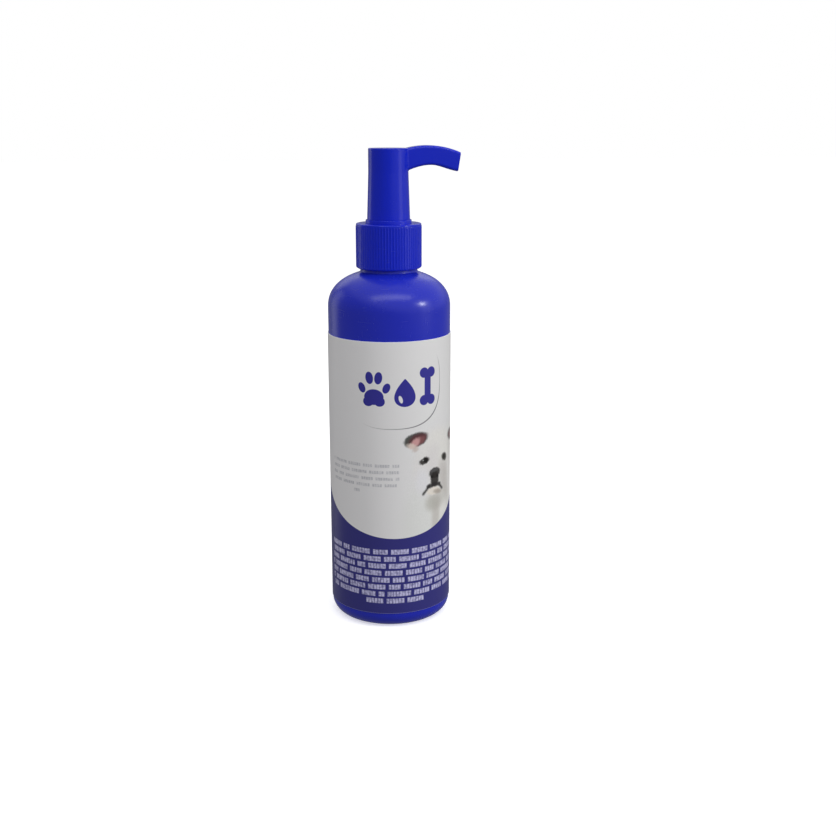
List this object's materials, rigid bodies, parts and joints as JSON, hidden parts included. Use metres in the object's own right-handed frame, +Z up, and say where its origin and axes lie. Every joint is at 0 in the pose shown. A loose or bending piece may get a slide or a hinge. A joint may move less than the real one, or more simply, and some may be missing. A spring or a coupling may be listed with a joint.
{
  "type": "pump bottle",
  "caption": "Round bottle with a wrap-round label, a ribbed screw closure and a lotion pump whose head turns, presses down and returns on a spring.",
  "frame": {"origin": "centre of the foot ring, on the plane that the bottle stands on", "axes": "+Z up along the bottle's axis, +X towards the spout, -Y towards the middle of the label's front"},
  "size_m": [0.0543, 0.0506, 0.1956],
  "materials": {
    "bottle_plastic": "satin",
    "label_film": "satin printed film",
    "pump_plastic": "satin",
    "clear_polypropylene": "milky natural",
    "piston_plastic": "smooth",
    "tube_plastic": "milky extruded",
    "gasket_foam": "fine foam",
    "wiper_rubber": "soft matte",
    "spring_steel": "drawn wire",
    "ball_steel": "polished"
  },
  "bodies": {
    "bottle": {"bottle": "bottle_plastic", "label": "label_film"},
    "pump_body": {"housing": "clear_polypropylene", "chaplet": "pump_plastic", "neck_gasket": "gasket_foam", "stem_guide": "clear_polypropylene", "stem_wiper": "wiper_rubber", "return_spring": "spring_steel", "ball_retainer": "clear_polypropylene", "dip_tube": "tube_plastic"},
    "closure": {"closure": "pump_plastic"},
    "cuff": {"spring_cuff": "clear_polypropylene"},
    "head": {"pump_head": "pump_plastic", "stem": "clear_polypropylene", "piston_rod": "clear_polypropylene"},
    "piston": {"piston": "piston_plastic"},
    "ball": {"inlet_ball": "ball_steel"}
  },
  "joints": [
    {"name": "thread_lift", "type": "slide", "parent": "bottle", "child": "pump_body", "axis": [0, 0, 1], "range_m": [0, 0.00476]},
    {"name": "closure_turn", "type": "hinge", "parent": "pump_body", "child": "closure", "pos_m": [0, 0, 0.1558], "axis": [0, 0, 1], "range_deg": [0, 540]},
    {"name": "head_press", "type": "slide", "parent": "pump_body", "child": "cuff", "axis": [0, 0, 1], "range_m": [-0.014, 0], "stiffness_N_per_m": 700, "springref_m": 0.004, "deforming": ["return_spring"]},
    {"name": "head_turn", "type": "hinge", "parent": "cuff", "child": "head", "pos_m": [0, 0, 0.1779], "axis": [0, 0, 1], "continuous": true},
    {"name": "piston_float", "type": "slide", "parent": "head", "child": "piston", "axis": [0, 0, 1], "range_m": [0, 0.0008]},
    {"name": "ball_lift", "type": "slide", "parent": "pump_body", "child": "ball", "axis": [0, 0, 1], "range_m": [0, 0.0015]}
  ],
  "couplings": [
    {"joint": "closure_turn", "follows": "thread_lift", "rad_per_m": 1979}
  ]
}
